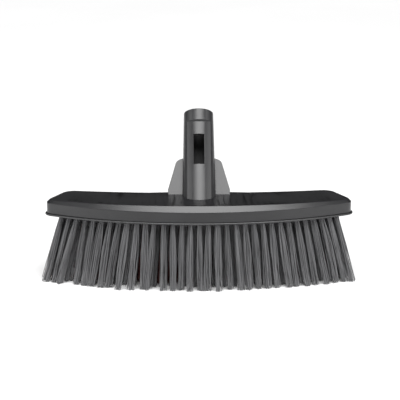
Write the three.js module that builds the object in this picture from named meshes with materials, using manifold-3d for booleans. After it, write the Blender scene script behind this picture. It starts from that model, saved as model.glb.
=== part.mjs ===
// A yard-broom head: a crescent-shaped cover over a bristle board, six rows of bristle tufts,
// and a slanted handle socket whose foot is screwed under the cover.
// Millimetres, +Z up. While it is built, X runs along the head, Y from its front lip to its back,
// and Z up from the bristle tips. The last step moves the origin to the middle of the base.

import * as THREE from "three";
import { mergeVertices } from "three/addons/utils/BufferGeometryUtils.js";
import Module from "manifold-3d";

const wasm = await Module();
wasm.setup();
const { degToRad, lerp } = THREE.MathUtils;

// ---- Driving dimensions -------------------------------------------------------------------------

// Head in plan, measured at the lip.
const HEAD_WIDTH = 394.6;
const HEAD_DEPTH = 89; // front lip to back lip on the centre line
const FRONT_RADIUS = 392; // convex front edge
const BACK_RADIUS = 611; // hollow back edge
const END_ANGLE = degToRad(25); // how far each end leans inwards towards the back
const FRONT_CORNER_RADIUS = 16.3;
const BACK_CORNER_RADIUS = 20.3;
const BULGE_HALF_WIDTH = 64; // the back swells out behind the socket
const BULGE_DEPTH = 5.5;

// Heights.
const BRISTLE_LENGTH = 85; // free length under the board
const LIP_THICKNESS = 2.4;
const LIP_OVERHANG = 2.3; // how far the lip stands out past the cover's face
const FACE_HEIGHT = 13.1; // upright face of the cover
const BEVEL = 6.8; // 45 degree edge above the face, at the middle of the head
const CROWN_RADIUS = 5200; // lengthwise curve of the top

// Walls and clearances.
const WALL = 2.5;
const GAP = 0.3; // between pieces that touch
const PLUG_HEIGHT = 11; // part of the board that fits inside the cover
const RIB_THICKNESS = 1.8;
const BOSS_RADIUS = 4.2;

// Tufts.
const ROWS = 6;
const TUFT_PITCH = 11.4;
const END_MARGIN = 15; // last tuft of a row from the end's edge
const TUFT_WALL = 0.93; // board left around a hole at the plug's edge
const TUFT_CLEARANCE = 0.36; // around a tuft in its hole
const TUFT_HOLE_DEPTH = 11.5;
const TUFT_TOP_RADIUS = 2;
const TUFT_SIDES = 6;
const TIP_OVERLAP = 0.8; // neighbouring tufts of a row run together at their tips
const FAN_ANGLE = degToRad(16.5); // sideways lean of a tuft at the very end of the head
const SPLAY_ANGLE = degToRad(6); // forward lean of the first row, backward lean of the last

// Handle socket, measured along its own axis from where that axis leaves the top of the cover.
const SOCKET_SHARE = 0.747191; // of the head's depth, from the front lip to the socket
const SOCKET_TILT = degToRad(33.5); // back from upright
const SOCKET_LENGTH = 113.2;
const MOUTH_RADIUS = 19.2;
const BASE_RADIUS = 21.4;
const BORE_RADIUS = 14;
const BORE_DEPTH = 109.5;
const PANEL_HALF_WIDTH = 15.6; // flatter front panel below the collar
const PANEL_RADIUS = 24;
const PANEL_STEP = 0.2; // how far the panel's long edges lie below the round barrel
const COLLAR_HEIGHT = 18.4;
const COLLAR_SLOPE = 0.9; // rise of the collar's underside for each millimetre outwards
const WINDOW_WIDTH = 14;
const WINDOW_HEIGHT = 42.1;
const WINDOW_DROP = 35.2; // mouth to the window's upper edge
const WING_THICKNESS = 4.5;
const WING_SETBACK = 7; // wings' middle plane behind the socket's axis
const WING_BASE_HALF_WIDTH = 39.9;
const WING_STRAIGHT_HEIGHT = 10; // upright part of a wing's outer edge
const WING_SHOULDER_HALF_WIDTH = 29;
const WING_SHOULDER_HEIGHT = 49.6;
const WING_TOP_HEIGHT = 53.4;
const WING_CORNER_RADIUS = 4;
const FOOT_THICKNESS = 3.1;
const FOOT_HALF_WIDTH = 46;
const FOOT_SHARE = 0.292135; // of the head's depth, foot plate to each side of its middle
const FOOT_CORNER_RADIUS = 6;
const FOOT_SHIFT = 1; // foot's middle in front of the barrel's
const FOOT_LIFT = 0.45; // between the board and the foot

// Self-tapping screws.
const SCREW_RADIUS = 1.45;
const SCREW_HEAD_RADIUS = 2.8;
const SCREW_HEAD_HEIGHT = 2.2;
const SCREW_FACE_RADIUS = 2.24; // flat part of a pan head
const SCREW_SIDES = 12;
const BOARD_SCREW_STATIONS = [60, 90, 116]; // along the middle of the head, both ways
const BOARD_SCREW_BITE = 4.6; // length in the boss
const SOCKET_SCREW_X = 37;
const SOCKET_SCREW_SHARE = 0.673077; // of the foot's reach
const SOCKET_SCREW_BITE = 4;
const RIB_STATIONS = [74, 103, 140];

// Longest steps along curves.
const LONG_STEP = 24; // outline's front, back and bulge
const CORNER_STEP = 4;
const CROWN_STEP = 40;
const CORNER_SEGMENTS = 4; // quarter of a rounded rectangle

// ---- Derived heights and places -----------------------------------------------------------------

const LIP_BOTTOM = BRISTLE_LENGTH;
const LIP_TOP = LIP_BOTTOM + LIP_THICKNESS;
const COVER_BOTTOM = LIP_TOP + GAP;
const FACE_TOP = COVER_BOTTOM + FACE_HEIGHT;
const COVER_TOP = FACE_TOP + BEVEL;
const PLUG_TOP = LIP_TOP + PLUG_HEIGHT;
const PLUG_INSET = LIP_OVERHANG + WALL + GAP;
const SOCKET_Y = SOCKET_SHARE * HEAD_DEPTH;
const FOOT_REACH = FOOT_SHARE * HEAD_DEPTH;
const FOOT_BOTTOM = PLUG_TOP + FOOT_LIFT;
const FOOT_TOP = FOOT_BOTTOM + FOOT_THICKNESS;
const PAD_BOTTOM = FOOT_TOP + GAP;
const FOOT_Y = SOCKET_Y - (COVER_TOP - FOOT_TOP) * Math.tan(SOCKET_TILT) - FOOT_SHIFT;

// Radius of a tuft at its tips and of the hole around it in the board. The first and last row lie
// where their holes leave the board's wall standing.
const TUFT_TOP = LIP_BOTTOM + TUFT_HOLE_DEPTH - GAP;
const FAN_GROWTH = (BRISTLE_LENGTH * Math.tan(FAN_ANGLE)) / (HEAD_WIDTH / 2);
const TIP_RADIUS = (TUFT_PITCH * (1 + FAN_GROWTH)) / 2 + TIP_OVERLAP;
const TUFT_HOLE_RADIUS =
  lerp(TIP_RADIUS, TUFT_TOP_RADIUS, LIP_BOTTOM / TUFT_TOP) + TUFT_CLEARANCE;
const ROW_MARGIN = PLUG_INSET + TUFT_HOLE_RADIUS + TUFT_WALL;

// ---- Solids -------------------------------------------------------------------------------------

// A closed geometry as a manifold solid.
function solid(geometry) {
  const bare = geometry.clone();
  bare.deleteAttribute("normal");
  bare.deleteAttribute("uv");
  const merged = mergeVertices(bare, 1e-4);
  const corners = merged.index.array;
  const triangles = [];
  for (let i = 0; i < corners.length; i += 3) {
    const [a, b, c] = corners.slice(i, i + 3);
    if (a !== b && b !== c && c !== a) triangles.push(a, b, c);
  }
  return new wasm.Manifold(
    new wasm.Mesh({
      numProp: 3,
      vertProperties: merged.attributes.position.array,
      triVerts: new Uint32Array(triangles),
    }),
  );
}

function joined(solids) {
  return solids.reduce((whole, piece) => whole.add(piece));
}

// A manifold solid as a named mesh.
function piece(name, shape, material) {
  const { numProp, vertProperties, triVerts } = shape.getMesh();
  const positions = new Float32Array((vertProperties.length / numProp) * 3);
  for (let i = 0; i < positions.length / 3; i++) {
    positions.set(vertProperties.subarray(i * numProp, i * numProp + 3), i * 3);
  }
  const geometry = new THREE.BufferGeometry();
  geometry.setAttribute("position", new THREE.BufferAttribute(positions, 3));
  geometry.setIndex(new THREE.BufferAttribute(triVerts, 1));
  geometry.computeVertexNormals();
  const mesh = new THREE.Mesh(geometry, material);
  mesh.name = name;
  return mesh;
}

// A turned shape along Z. The profile is a list of [radius, height], from the axis to the axis.
function turned(profile, sides) {
  const points = profile.map(([radius, height]) => new THREE.Vector2(radius, height));
  return new THREE.LatheGeometry(points, sides).rotateX(Math.PI / 2);
}

function cylinder(radius, bottom, top, sides) {
  return turned([[0, bottom], [radius, bottom], [radius, top], [0, top]], sides);
}

function box(width, depth, height, x, y, z) {
  return new THREE.BoxGeometry(width, depth, height).translate(x, y, z);
}

// An upright prism over a plan shape, with 45 degree edges of the given size at both ends.
function prism(shape, bottom, top, edge = 0) {
  const geometry = new THREE.ExtrudeGeometry(shape, {
    depth: top - bottom,
    bevelEnabled: edge > 0,
    bevelThickness: edge,
    bevelSize: edge,
    bevelSegments: 1,
    curveSegments: CORNER_SEGMENTS,
  });
  return geometry.translate(0, 0, bottom);
}

function roundedRectangle(halfWidth, front, back, radius) {
  const shape = new THREE.Shape();
  shape.absarc(halfWidth - radius, front + radius, radius, -Math.PI / 2, 0);
  shape.absarc(halfWidth - radius, back - radius, radius, 0, Math.PI / 2);
  shape.absarc(radius - halfWidth, back - radius, radius, Math.PI / 2, Math.PI);
  shape.absarc(radius - halfWidth, front + radius, radius, Math.PI, 1.5 * Math.PI);
  return shape;
}

// ---- Head outline in plan -----------------------------------------------------------------------

// The front corner's centre follows from the head's width and the front curve. The end's straight
// edge is tangent to it, and the back corner is tangent to that edge and to the back curve.
const endNormal = new THREE.Vector2(Math.cos(END_ANGLE), Math.sin(END_ANGLE));
const endAlong = new THREE.Vector2(-endNormal.y, endNormal.x);
const frontCentre = new THREE.Vector2(0, FRONT_RADIUS);
const backCentre = new THREE.Vector2(0, HEAD_DEPTH + BACK_RADIUS);
const frontCorner = (() => {
  const x = HEAD_WIDTH / 2 - FRONT_CORNER_RADIUS;
  const reach = FRONT_RADIUS - FRONT_CORNER_RADIUS;
  return new THREE.Vector2(x, FRONT_RADIUS - Math.sqrt(reach ** 2 - x ** 2));
})();
const END_DISTANCE = frontCorner.dot(endNormal) + FRONT_CORNER_RADIUS;
const backCorner = (() => {
  const foot = endNormal.clone().multiplyScalar(END_DISTANCE - BACK_CORNER_RADIUS);
  const toFoot = foot.clone().sub(backCentre);
  const reach = BACK_RADIUS + BACK_CORNER_RADIUS;
  const half = toFoot.dot(endAlong);
  const along = -half - Math.sqrt(half ** 2 - toFoot.lengthSq() + reach ** 2);
  return foot.addScaledVector(endAlong, along);
})();

// The bulge is an arc through its own peak and two points of the back curve.
const bulge = (() => {
  const shoulder = backCentre.y - Math.sqrt(BACK_RADIUS ** 2 - BULGE_HALF_WIDTH ** 2);
  const rise = HEAD_DEPTH + BULGE_DEPTH - shoulder;
  const radius = (BULGE_HALF_WIDTH ** 2 + rise ** 2) / (2 * rise);
  return { radius, y: HEAD_DEPTH + BULGE_DEPTH - radius };
})();

// Points of an arc without its last point. The radius sets the number of steps, and the arc is then
// drawn larger by grow, so that outlines at different insets keep the same corners.
function arcPoints(centre, radius, grow, from, to, step) {
  const clockwise = to < from;
  const steps = 2 * Math.ceil((radius * Math.abs(to - from)) / step / 2);
  const drawn = radius + grow;
  const curve = new THREE.EllipseCurve(centre.x, centre.y, drawn, drawn, from, to, clockwise);
  return curve.getPoints(steps).slice(0, -1);
}

// The head's outline, moved inwards by the inset everywhere.
function outline(inset) {
  const frontAngle = Math.atan2(frontCorner.y - frontCentre.y, frontCorner.x);
  const backAngle = Math.atan2(backCentre.y - backCorner.y, -backCorner.x);
  const backRadius = BACK_RADIUS + inset;
  const bulgeRadius = bulge.radius - inset;
  const meetY =
    (backCentre.y ** 2 - bulge.y ** 2 - backRadius ** 2 + bulgeRadius ** 2) /
    (2 * (backCentre.y - bulge.y));
  const meetX = Math.sqrt(backRadius ** 2 - (backCentre.y - meetY) ** 2);
  const backMeet = Math.asin(meetX / backRadius);
  const bulgeMeet = Math.asin(meetX / bulgeRadius);
  const mirrored = (v) => new THREE.Vector2(-v.x, v.y);
  const quarter = Math.PI / 2;
  const frontArc = [frontCentre, FRONT_RADIUS, -inset];
  const backArc = [backCentre, BACK_RADIUS, inset];
  const bulgeArc = [new THREE.Vector2(0, bulge.y), bulge.radius, -inset];
  const front = [FRONT_CORNER_RADIUS, -inset, frontAngle, END_ANGLE];
  const back = [BACK_CORNER_RADIUS, -inset, END_ANGLE, backAngle];
  const leftEnd = ([radius, grow, from, to]) => [radius, grow, Math.PI - to, Math.PI - from];
  return new THREE.Shape([
    ...arcPoints(...frontArc, -Math.PI - frontAngle, frontAngle, LONG_STEP),
    ...arcPoints(frontCorner, ...front, CORNER_STEP),
    ...arcPoints(backCorner, ...back, CORNER_STEP),
    ...arcPoints(...backArc, backAngle - Math.PI, backMeet - quarter, LONG_STEP),
    ...arcPoints(...bulgeArc, quarter - bulgeMeet, quarter + bulgeMeet, LONG_STEP),
    ...arcPoints(...backArc, -backMeet - quarter, -backAngle, LONG_STEP),
    ...arcPoints(mirrored(backCorner), ...leftEnd(back), CORNER_STEP),
    ...arcPoints(mirrored(frontCorner), ...leftEnd(front), CORNER_STEP),
  ]);
}

// Everything below the crowned top, lowered by the given depth.
function underCrown(lowered) {
  const reach = HEAD_WIDTH;
  const centre = new THREE.Vector2(0, COVER_TOP - lowered - CROWN_RADIUS);
  const half = Math.asin(reach / 2 / CROWN_RADIUS);
  const quarter = Math.PI / 2;
  const arc = arcPoints(centre, CROWN_RADIUS, 0, quarter - half, quarter + half, CROWN_STEP);
  const shape = new THREE.Shape([
    new THREE.Vector2(-reach / 2, 0),
    new THREE.Vector2(reach / 2, 0),
    ...arc,
    new THREE.Vector2(-reach / 2, arc[0].y),
  ]);
  const depth = 3 * HEAD_DEPTH;
  const geometry = new THREE.ExtrudeGeometry(shape, { depth, bevelEnabled: false });
  return solid(geometry.rotateX(Math.PI / 2).translate(0, 2 * HEAD_DEPTH, 0));
}

// ---- Tuft and screw layout ----------------------------------------------------------------------

// A curve of the tuft field: share 0 is the first row and 1 the last. The curvature changes evenly,
// which keeps the rows evenly apart. The station is the distance along the curve from the middle.
function fieldPoint(share, station) {
  const radius = 1 / lerp(1 / (FRONT_RADIUS - ROW_MARGIN), 1 / (BACK_RADIUS + ROW_MARGIN), share);
  const start = lerp(ROW_MARGIN, HEAD_DEPTH - ROW_MARGIN, share);
  const angle = station / radius;
  return {
    x: radius * Math.sin(angle),
    y: start + radius * (1 - Math.cos(angle)),
    angle,
  };
}

const lipEdge = outline(0).getPoints().map((p) => new THREE.Vector3(p.x, p.y, 0));

function distanceToLip(x, y) {
  const point = new THREE.Vector3(x, y, 0);
  const nearest = new THREE.Vector3();
  const distances = lipEdge.map((corner, i) => {
    const side = new THREE.Line3(corner, lipEdge[(i + 1) % lipEdge.length]);
    return side.closestPointToPoint(point, true, nearest).distanceTo(point);
  });
  return Math.min(...distances);
}

function tuftFits(point) {
  const endRoom = END_DISTANCE - (point.x * endNormal.x + point.y * endNormal.y);
  const wallRoom = distanceToLip(point.x, point.y) - PLUG_INSET - TUFT_HOLE_RADIUS;
  return endRoom >= END_MARGIN && wallRoom >= TUFT_WALL - GAP;
}

// Board screws stand between the two middle rows, at the quarter pitch nearest to their station. The
// rows are shifted by half a pitch, so that is as far as they get from the tufts on both sides.
const boardScrews = BOARD_SCREW_STATIONS.flatMap((station) => {
  const halfPitches = Math.round((station / TUFT_PITCH - 0.25) * 2);
  const along = (halfPitches / 2 + 0.25) * TUFT_PITCH;
  return [fieldPoint(0.5, -along), fieldPoint(0.5, along)];
});

// The tufts of one row, from its left end to its right. Every second row is shifted by half a pitch.
function rowTufts(row) {
  const share = row / (ROWS - 1);
  const shift = row % 2 ? 0.5 : 0;
  const right = [];
  for (let i = 0; ; i++) {
    const point = fieldPoint(share, (i + shift) * TUFT_PITCH);
    if (!tuftFits(point)) break;
    right.push(point);
  }
  const left = right.slice(shift ? 0 : 1).map(({ x, y, angle }) => ({ x: -x, y, angle: -angle }));
  return [...left.reverse(), ...right];
}

const rows = Array.from({ length: ROWS }, (_, row) => rowTufts(row));

// The rows lie closest at their ends. A tuft is flattened across its row to stay clear there.
const TIP_HALF_DEPTH = (() => {
  const first = rows[0].at(-1);
  const last = rows.at(-1).at(-1);
  const middle = (first.angle + last.angle) / 2;
  const fieldDepth = (last.y - first.y) * Math.cos(middle) + (first.x - last.x) * Math.sin(middle);
  const splay = 2 * BRISTLE_LENGTH * Math.tan(SPLAY_ANGLE) * Math.cos(middle);
  return Math.min(TIP_RADIUS, (fieldDepth + splay) / (ROWS - 1) / 2 - GAP);
})();

// Moves a geometry that stands on the tuft's axis to the tuft's place, leaning from the board down.
function atTuft(geometry, row, tuft) {
  const fan = Math.tan((FAN_ANGLE * tuft.x) / (HEAD_WIDTH / 2));
  const splay = Math.tan(lerp(SPLAY_ANGLE, -SPLAY_ANGLE, row / (ROWS - 1)));
  const lean = new THREE.Matrix4().set(1, 0, -fan, 0, 0, 1, splay, 0, 0, 0, 1, 0, 0, 0, 0, 1);
  return geometry
    .rotateZ(tuft.angle)
    .translate(0, 0, -LIP_BOTTOM)
    .applyMatrix4(lean)
    .translate(tuft.x, tuft.y, LIP_BOTTOM);
}

function tuftSolid(row, tuft) {
  const geometry = new THREE.CylinderGeometry(TUFT_TOP_RADIUS, TIP_RADIUS, TUFT_TOP, TUFT_SIDES);
  geometry.rotateY(Math.PI / 2).rotateX(Math.PI / 2).translate(0, 0, TUFT_TOP / 2);
  const position = geometry.attributes.position;
  for (let i = 0; i < position.count; i++) {
    const down = 1 - position.getZ(i) / TUFT_TOP;
    position.setY(i, position.getY(i) * lerp(1, TIP_HALF_DEPTH / TIP_RADIUS, down));
  }
  return solid(atTuft(geometry, row, tuft));
}

function tuftHole(row, tuft) {
  const bottom = LIP_BOTTOM - 1;
  const top = LIP_BOTTOM + TUFT_HOLE_DEPTH;
  const radius = TUFT_HOLE_RADIUS;
  const geometry = new THREE.CylinderGeometry(radius, radius, top - bottom, TUFT_SIDES);
  geometry.rotateY(Math.PI / 2).rotateX(Math.PI / 2).translate(0, 0, (top + bottom) / 2);
  return solid(atTuft(geometry, row, tuft));
}

const socketScrews = [-1, 1].flatMap((side) =>
  [-1, 1].map((end) => ({
    x: side * SOCKET_SCREW_X,
    y: FOOT_Y + end * SOCKET_SCREW_SHARE * FOOT_REACH,
  })),
);

// ---- Handle socket ------------------------------------------------------------------------------

// The socket's own frame: Z along its axis towards the mouth, -Y to its front.
const socketFrame = new THREE.Matrix4()
  .makeRotationX(-SOCKET_TILT)
  .setPosition(0, SOCKET_Y, COVER_TOP);
const inSocketFrame = (geometry) => solid(geometry.applyMatrix4(socketFrame));
const SOCKET_BELOW = 40; // length drawn below the cover's top before the foot cuts it
const BARREL_SIDES = 40;
const barrelRadius = (height) =>
  lerp(MOUTH_RADIUS, BASE_RADIUS, 1 - height / SOCKET_LENGTH);

function barrel(clearance) {
  return inSocketFrame(
    turned(
      [
        [0, -SOCKET_BELOW],
        [barrelRadius(-SOCKET_BELOW) + clearance, -SOCKET_BELOW],
        [MOUTH_RADIUS + clearance, SOCKET_LENGTH],
        [0, SOCKET_LENGTH],
      ],
      BARREL_SIDES,
    ),
  );
}

// The wings in their own plane: upright sides at the cover, sloping ones above them.
function wings(clearance) {
  const base = WING_BASE_HALF_WIDTH + clearance;
  const shoulder = WING_SHOULDER_HALF_WIDTH + clearance;
  const side = new THREE.Vector2(
    shoulder - base,
    WING_SHOULDER_HEIGHT - WING_STRAIGHT_HEIGHT,
  ).normalize();
  const top = new THREE.Vector2(
    MOUTH_RADIUS - shoulder,
    WING_TOP_HEIGHT - WING_SHOULDER_HEIGHT,
  ).normalize();
  const corner = new THREE.Vector2(shoulder, WING_SHOULDER_HEIGHT);
  const before = corner.clone().addScaledVector(side, -WING_CORNER_RADIUS);
  const after = corner.clone().addScaledVector(top, WING_CORNER_RADIUS);
  const shape = new THREE.Shape();
  shape.moveTo(-base, -SOCKET_BELOW);
  shape.lineTo(base, -SOCKET_BELOW);
  shape.lineTo(base, WING_STRAIGHT_HEIGHT);
  shape.lineTo(before.x, before.y);
  shape.quadraticCurveTo(corner.x, corner.y, after.x, after.y);
  shape.lineTo(MOUTH_RADIUS, WING_TOP_HEIGHT);
  shape.lineTo(-MOUTH_RADIUS, WING_TOP_HEIGHT);
  shape.lineTo(-after.x, after.y);
  shape.quadraticCurveTo(-corner.x, corner.y, -before.x, before.y);
  shape.lineTo(-base, WING_STRAIGHT_HEIGHT);
  const thickness = WING_THICKNESS + 2 * clearance;
  const geometry = prism(shape, 0, thickness).rotateX(Math.PI / 2);
  return inSocketFrame(geometry.translate(0, WING_SETBACK + thickness / 2, 0));
}

// How far the middle of the panel stands in front of the socket's axis.
function panelFront(height) {
  const edgeDepth = Math.sqrt(barrelRadius(height) ** 2 - PANEL_HALF_WIDTH ** 2);
  const sagitta = PANEL_RADIUS - Math.sqrt(PANEL_RADIUS ** 2 - PANEL_HALF_WIDTH ** 2);
  return edgeDepth + sagitta - PANEL_STEP;
}

// What is cut away in front of the panel, or of a hole with the given clearance around it. Its face
// is a wide cylinder, tilted to follow the taper.
function panelCut(clearance) {
  const top = SOCKET_LENGTH - COLLAR_HEIGHT;
  const inward = (height) => PANEL_RADIUS - panelFront(height);
  const slope = Math.atan((inward(top) - inward(0)) / top);
  const face = cylinder(PANEL_RADIUS + clearance, -2 * SOCKET_LENGTH, 2 * SOCKET_LENGTH, 2 * BARREL_SIDES);
  face.rotateX(-slope).translate(0, inward(0), 0);
  const height = top + SOCKET_BELOW;
  const block = box(
    2 * (PANEL_HALF_WIDTH - clearance), BASE_RADIUS, height,
    0, -BASE_RADIUS / 2 - BORE_RADIUS / 2, top - height / 2,
  );
  return inSocketFrame(block).subtract(inSocketFrame(face));
}

// A wedge that gives the collar a sloping underside above the panel.
function collarCut() {
  const bottom = SOCKET_LENGTH - COLLAR_HEIGHT;
  const shape = new THREE.Shape();
  shape.moveTo(0, 0);
  shape.lineTo(BASE_RADIUS, 0);
  shape.lineTo(BASE_RADIUS, COLLAR_SLOPE * BASE_RADIUS);
  shape.closePath();
  const wedge = prism(shape, -BASE_RADIUS, BASE_RADIUS);
  wedge.rotateX(Math.PI / 2).rotateZ(-Math.PI / 2);
  return inSocketFrame(wedge.translate(0, -panelFront(bottom), bottom));
}

function windowCut() {
  const top = SOCKET_LENGTH - WINDOW_DROP;
  return inSocketFrame(
    box(
      WINDOW_WIDTH, 2 * BASE_RADIUS, WINDOW_HEIGHT,
      0, -BASE_RADIUS, top - WINDOW_HEIGHT / 2,
    ),
  );
}

function boreCut() {
  const floor = SOCKET_LENGTH - BORE_DEPTH;
  return inSocketFrame(cylinder(BORE_RADIUS, floor, SOCKET_LENGTH + 1, 32));
}

function footPlan() {
  return roundedRectangle(FOOT_HALF_WIDTH, FOOT_Y - FOOT_REACH, FOOT_Y + FOOT_REACH, FOOT_CORNER_RADIUS);
}

// A countersunk hole or screw from below: the flare starts at the given height and reaches up.
function countersunk(clearance, bottom, top) {
  const shank = SCREW_RADIUS + clearance;
  const head = SCREW_HEAD_RADIUS + clearance;
  return turned(
    [[0, bottom], [head, bottom], [shank, bottom + head - shank], [shank, top], [0, top]],
    SCREW_SIDES,
  );
}

function handleSocket() {
  const foot = solid(prism(footPlan(), FOOT_BOTTOM, FOOT_TOP)).intersect(coverInside(GAP));
  const aboveFoot = solid(
    box(HEAD_WIDTH, 4 * HEAD_DEPTH, 2 * COVER_TOP, 0, SOCKET_Y, FOOT_BOTTOM + COVER_TOP),
  );
  let shape = joined([barrel(0), wings(0)]).intersect(aboveFoot).add(foot);
  for (const cut of [panelCut(0), collarCut(), windowCut(), boreCut()]) shape = shape.subtract(cut);
  for (const { x, y } of socketScrews) {
    const hole = countersunk(GAP, FOOT_BOTTOM - GAP, PAD_BOTTOM);
    shape = shape.subtract(solid(hole.translate(x, y, 0)));
  }
  return shape;
}

// ---- Head cover ---------------------------------------------------------------------------------

// The hollow under the cover, made smaller by the clearance.
function coverInside(clearance) {
  const wall = WALL + clearance;
  const faceTop = FACE_TOP - wall * Math.tan(Math.PI / 8);
  const plan = outline(LIP_OVERHANG + BEVEL + wall);
  return solid(prism(plan, COVER_BOTTOM - 1, faceTop, BEVEL)).intersect(underCrown(wall));
}

// A strip across the head under the cover, from its front wall to its back wall.
function ribSolid(station) {
  const { x, y, angle } = fieldPoint(0.5, station);
  const height = COVER_TOP - PLUG_TOP - GAP;
  const rib = box(RIB_THICKNESS, 1.4 * HEAD_DEPTH, height, 0, 0, PLUG_TOP + GAP + height / 2);
  return solid(rib.rotateZ(angle).translate(x, y, 0));
}

function headCover() {
  const body = solid(prism(outline(LIP_OVERHANG + BEVEL), COVER_BOTTOM, FACE_TOP, BEVEL));
  const aboveLip = solid(
    box(2 * HEAD_WIDTH, 4 * HEAD_DEPTH, COVER_TOP, 0, 0, COVER_BOTTOM + COVER_TOP / 2),
  );
  const outside = body.intersect(underCrown(0)).intersect(aboveLip);
  const bosses = boardScrews.map(({ x, y }) =>
    solid(cylinder(BOSS_RADIUS, PLUG_TOP + GAP, COVER_TOP, 2 * SCREW_SIDES).translate(x, y, 0)),
  );
  const ribs = RIB_STATIONS.flatMap((station) => [ribSolid(-station), ribSolid(station)]);
  const pad = solid(prism(footPlan(), PAD_BOTTOM, COVER_TOP));
  const under = joined([...bosses, ...ribs, pad]).intersect(outside);
  let shape = outside.subtract(coverInside(0)).add(under);
  shape = shape.subtract(barrel(GAP).subtract(panelCut(GAP))).subtract(wings(GAP));
  const pilot = SCREW_RADIUS + GAP;
  for (const { x, y } of boardScrews) {
    const top = PLUG_TOP + GAP + BOARD_SCREW_BITE + GAP;
    shape = shape.subtract(solid(cylinder(pilot, PLUG_TOP, top, SCREW_SIDES).translate(x, y, 0)));
  }
  for (const { x, y } of socketScrews) {
    const top = PAD_BOTTOM + SOCKET_SCREW_BITE + GAP;
    shape = shape.subtract(solid(cylinder(pilot, FOOT_TOP, top, SCREW_SIDES).translate(x, y, 0)));
  }
  return shape;
}

// ---- Bristle board ------------------------------------------------------------------------------

function bristleBoard() {
  const lip = solid(prism(outline(0), LIP_BOTTOM, LIP_TOP));
  const plug = solid(prism(outline(PLUG_INSET), LIP_BOTTOM + 1, PLUG_TOP));
  const holes = rows.flatMap((tufts, row) => tufts.map((tuft) => tuftHole(row, tuft)));
  const screwHoles = boardScrews.flatMap(({ x, y }) => {
    const recess = SCREW_HEAD_HEIGHT + 2 * GAP;
    const head = cylinder(SCREW_HEAD_RADIUS + GAP, LIP_BOTTOM - 1, LIP_BOTTOM + recess, SCREW_SIDES);
    const shank = cylinder(SCREW_RADIUS + GAP, LIP_BOTTOM, PLUG_TOP + 1, SCREW_SIDES);
    return [solid(head.translate(x, y, 0)), solid(shank.translate(x, y, 0))];
  });
  return lip.add(plug).subtract(joined(holes)).subtract(joined(screwHoles));
}

// ---- Screws -------------------------------------------------------------------------------------

function boardScrew({ x, y }) {
  const bottom = LIP_BOTTOM + GAP;
  const neck = bottom + SCREW_HEAD_HEIGHT;
  const top = PLUG_TOP + GAP + BOARD_SCREW_BITE;
  const profile = [
    [0, bottom],
    [SCREW_FACE_RADIUS, bottom],
    [SCREW_HEAD_RADIUS, bottom + SCREW_HEAD_HEIGHT / 2],
    [SCREW_HEAD_RADIUS, neck],
    [SCREW_RADIUS, neck],
    [SCREW_RADIUS, top - SCREW_RADIUS],
    [0, top],
  ];
  return solid(turned(profile, SCREW_SIDES).translate(x, y, 0));
}

function socketScrew({ x, y }) {
  const screw = countersunk(0, FOOT_BOTTOM, PAD_BOTTOM + SOCKET_SCREW_BITE);
  return solid(screw.translate(x, y, 0));
}

// ---- Assembly -----------------------------------------------------------------------------------

const plastic = new THREE.MeshStandardMaterial({ color: 0x38383a, roughness: 0.5 });
const socketPlastic = new THREE.MeshStandardMaterial({ color: 0x444446, roughness: 0.45 });
const stiffBristle = new THREE.MeshStandardMaterial({ color: 0x3c3c3e, roughness: 0.4 });
const softBristle = new THREE.MeshStandardMaterial({ color: 0x5a3430, roughness: 0.4 });
const steel = new THREE.MeshStandardMaterial({ color: 0xb4b6b8, roughness: 0.35, metalness: 1 });

const object = new THREE.Group();
object.add(piece("head_cover", headCover(), plastic));
object.add(piece("bristle_board", bristleBoard(), plastic));
object.add(piece("handle_socket", handleSocket(), socketPlastic));
boardScrews.forEach((place, i) => {
  object.add(piece(`board_screw_${i + 1}`, boardScrew(place), steel));
});
socketScrews.forEach((place, i) => {
  object.add(piece(`socket_screw_${i + 1}`, socketScrew(place), steel));
});
rows.forEach((tufts, row) => {
  const stiff = row < 2 || row === ROWS - 1;
  const shape = joined(tufts.map((tuft) => tuftSolid(row, tuft)));
  object.add(piece(`bristle_row_${row + 1}`, shape, stiff ? stiffBristle : softBristle));
});

// The origin goes to the middle of the object's footprint, at the bristle tips.
const bounds = new THREE.Box3().setFromObject(object);
const middle = bounds.getCenter(new THREE.Vector3());
object.position.set(-middle.x, -middle.y, -bounds.min.z);

const group = new THREE.Group();
group.add(object);

export default group;
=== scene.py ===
"""A yard-broom head: cover, bristle board, slanted handle socket, screws and six rows of bristles.

Metres. X runs along the head, Y from its front lip to its back, and Z up from the bristle tips.
"""

import math
import random

import bmesh
import bpy
from bpy.props import FloatProperty, FloatVectorProperty, IntProperty, PointerProperty
from mathutils import Matrix, Vector


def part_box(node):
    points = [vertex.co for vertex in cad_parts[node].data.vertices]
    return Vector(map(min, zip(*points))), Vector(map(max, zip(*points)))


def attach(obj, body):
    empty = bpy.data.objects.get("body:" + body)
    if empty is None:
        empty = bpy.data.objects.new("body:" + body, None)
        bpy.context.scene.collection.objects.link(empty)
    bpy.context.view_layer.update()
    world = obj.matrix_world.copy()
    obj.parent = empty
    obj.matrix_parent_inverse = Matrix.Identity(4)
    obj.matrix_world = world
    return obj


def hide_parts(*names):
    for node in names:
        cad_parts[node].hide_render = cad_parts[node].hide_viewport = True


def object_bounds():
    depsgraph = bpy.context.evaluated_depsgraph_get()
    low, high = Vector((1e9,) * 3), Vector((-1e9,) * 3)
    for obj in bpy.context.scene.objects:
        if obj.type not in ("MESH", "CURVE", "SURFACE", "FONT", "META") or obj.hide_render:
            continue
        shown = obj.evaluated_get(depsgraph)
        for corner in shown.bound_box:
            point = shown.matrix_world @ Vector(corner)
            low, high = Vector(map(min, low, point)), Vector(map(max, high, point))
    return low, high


bl_info = {
    "name": "Yard Broom Head",
    "version": (1, 0, 0),
    "blender": (4, 5, 0),
    "location": "View3D > Sidebar > Broom",
    "description": "Builds the visible pieces of a yard-broom head over its packed frame",
    "category": "Add Mesh",
}

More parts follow.
